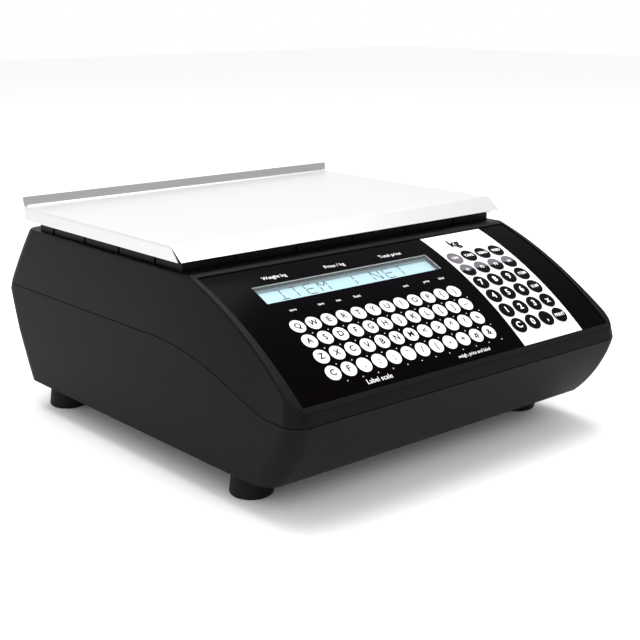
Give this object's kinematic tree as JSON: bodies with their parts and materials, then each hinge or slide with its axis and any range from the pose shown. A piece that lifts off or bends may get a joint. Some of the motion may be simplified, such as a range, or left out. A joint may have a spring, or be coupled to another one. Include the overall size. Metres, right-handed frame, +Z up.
{
  "type": "label printing scale",
  "caption": "Counter-top price computing scale with a folded steel platter, a sloping membrane keypad with display, and a label printer behind a side door.",
  "frame": {"origin": "on the table, under the middle of the whole object", "axes": "+X right, +Y to the rear, +Z up; the keypad faces -Y"},
  "size_m": [0.3746, 0.4275, 0.1974],
  "materials": {
    "casing_black": "fine moulded texture",
    "cover_black": "satin moulded",
    "door_black": "fine moulded texture",
    "overlay_black": "gloss printed film",
    "overlay_white": "gloss printed film",
    "film_clear": "clear film",
    "window_clear": "clear acrylic",
    "lcd_blue": "backlit liquid crystal",
    "stainless": "fine satin",
    "steel_zinc": "zinc plated",
    "cast_aluminium": "cast",
    "rubber_black": "moulded",
    "board_green": "solder mask",
    "black_parts": "moulded",
    "nylon_white": "moulded",
    "brass": "turned",
    "label_paper": "coated thermal paper",
    "level_green": "tinted vial"
  },
  "bodies": {
    "casing": {"base_shell": "casing_black", "board_components": "black_parts", "board_spacers": "nylon_white", "cell_riser": "steel_zinc", "cell_screws": "steel_zinc", "chassis_plate": "steel_zinc", "chassis_screws": "steel_zinc", "cover_screws": "steel_zinc", "display_window": "window_clear", "door_magnet": "black_parts", "drawer_socket": "black_parts", "foot_inserts": "brass", "frame_pins": "steel_zinc", "head_spring": "steel_zinc", "hinge_pins": "steel_zinc", "inlet_pins": "brass", "key_circuit_sheet": "film_clear", "key_spacer_sheet": "film_clear", "keypad_overlay": "overlay_black", "lcd_backlight": "lcd_blue", "lcd_frame": "cover_black", "lcd_glass": "lcd_blue", "load_cell": "cast_aluminium", "main_board": "board_green", "mains_inlet": "black_parts", "motor_pillars": "steel_zinc", "network_socket": "black_parts", "number_key_overlay": "overlay_white", "overload_stops": "steel_zinc", "platen_bushes": "brass", "platter_spider": "cast_aluminium", "power_supply": "steel_zinc", "printer_frame": "steel_zinc", "rear_lcd_glass": "lcd_blue", "rear_window": "window_clear", "snap_domes": "stainless", "socket_plate": "steel_zinc", "spider_caps": "rubber_black", "spirit_level": "level_green", "stepper_motor": "steel_zinc", "switch_housing": "black_parts", "tear_bar": "stainless", "top_cover": "cover_black"},
    "platter": {"platter": "stainless"},
    "printer_door": {"printer_door": "door_black", "door_strike": "stainless"},
    "label_roll": {"label_roll": "label_paper", "roll_spindle": "nylon_white"},
    "platen": {"platen_roller": "rubber_black", "platen_shaft": "steel_zinc", "platen_gear": "nylon_white"},
    "idler": {"idler_gear": "nylon_white"},
    "motor_rotor": {"motor_pinion": "steel_zinc"},
    "head_carrier": {"print_head": "stainless", "head_bracket": "steel_zinc"},
    "power_rocker": {"switch_rocker": "black_parts"},
    "foot_front_left": {"foot_front_left": "rubber_black"},
    "foot_rear_left": {"foot_rear_left": "rubber_black"},
    "foot_front_right": {"foot_front_right": "rubber_black"},
    "foot_rear_right": {"foot_rear_right": "rubber_black"}
  },
  "joints": [
    {"name": "platter_lift", "type": "slide", "parent": "casing", "child": "platter", "axis": [0, 0, 1], "range_m": [0, 0.06]},
    {"name": "door_swing", "type": "hinge", "parent": "casing", "child": "printer_door", "pos_m": [0.18346, 0.057, 0.0412], "axis": [0, 1, 0], "range_deg": [0, 90]},
    {"name": "roll_spin", "type": "hinge", "parent": "casing", "child": "label_roll", "pos_m": [0.108, 0.057, 0.074], "axis": [0, 1, 0], "continuous": true},
    {"name": "platen_spin", "type": "hinge", "parent": "casing", "child": "platen", "pos_m": [0.163, 0.057, 0.0875], "axis": [0, 1, 0], "continuous": true},
    {"name": "idler_spin", "type": "hinge", "parent": "casing", "child": "idler", "pos_m": [0.13957, 0.0965, 0.07596], "axis": [0, 1, 0], "continuous": true},
    {"name": "pinion_spin", "type": "hinge", "parent": "casing", "child": "motor_rotor", "pos_m": [0.137, 0.0965, 0.056], "axis": [0, 1, 0], "continuous": true},
    {"name": "head_lift", "type": "hinge", "parent": "casing", "child": "head_carrier", "pos_m": [0.13, 0.057, 0.1175], "axis": [0, -1, 0], "range_deg": [0, 15], "stiffness_Nm_per_rad": 0.3, "springref_deg": -17.19},
    {"name": "power_switch", "type": "hinge", "parent": "casing", "child": "power_rocker", "pos_m": [-0.072, 0.183, 0.066], "axis": [1, 0, 0], "range_deg": [-20, 0]},
    {"name": "level_front_left", "type": "slide", "parent": "casing", "child": "foot_front_left", "axis": [0, 0, -1], "range_m": [0, 0.008]},
    {"name": "level_rear_left", "type": "slide", "parent": "casing", "child": "foot_rear_left", "axis": [0, 0, -1], "range_m": [0, 0.008]},
    {"name": "level_front_right", "type": "slide", "parent": "casing", "child": "foot_front_right", "axis": [0, 0, -1], "range_m": [0, 0.008]},
    {"name": "level_rear_right", "type": "slide", "parent": "casing", "child": "foot_rear_right", "axis": [0, 0, -1], "range_m": [0, 0.008]}
  ],
  "couplings": [
    {"joint": "idler_spin", "follows": "platen_spin", "ratio": -0.85714},
    {"joint": "pinion_spin", "follows": "platen_spin", "ratio": 2}
  ]
}
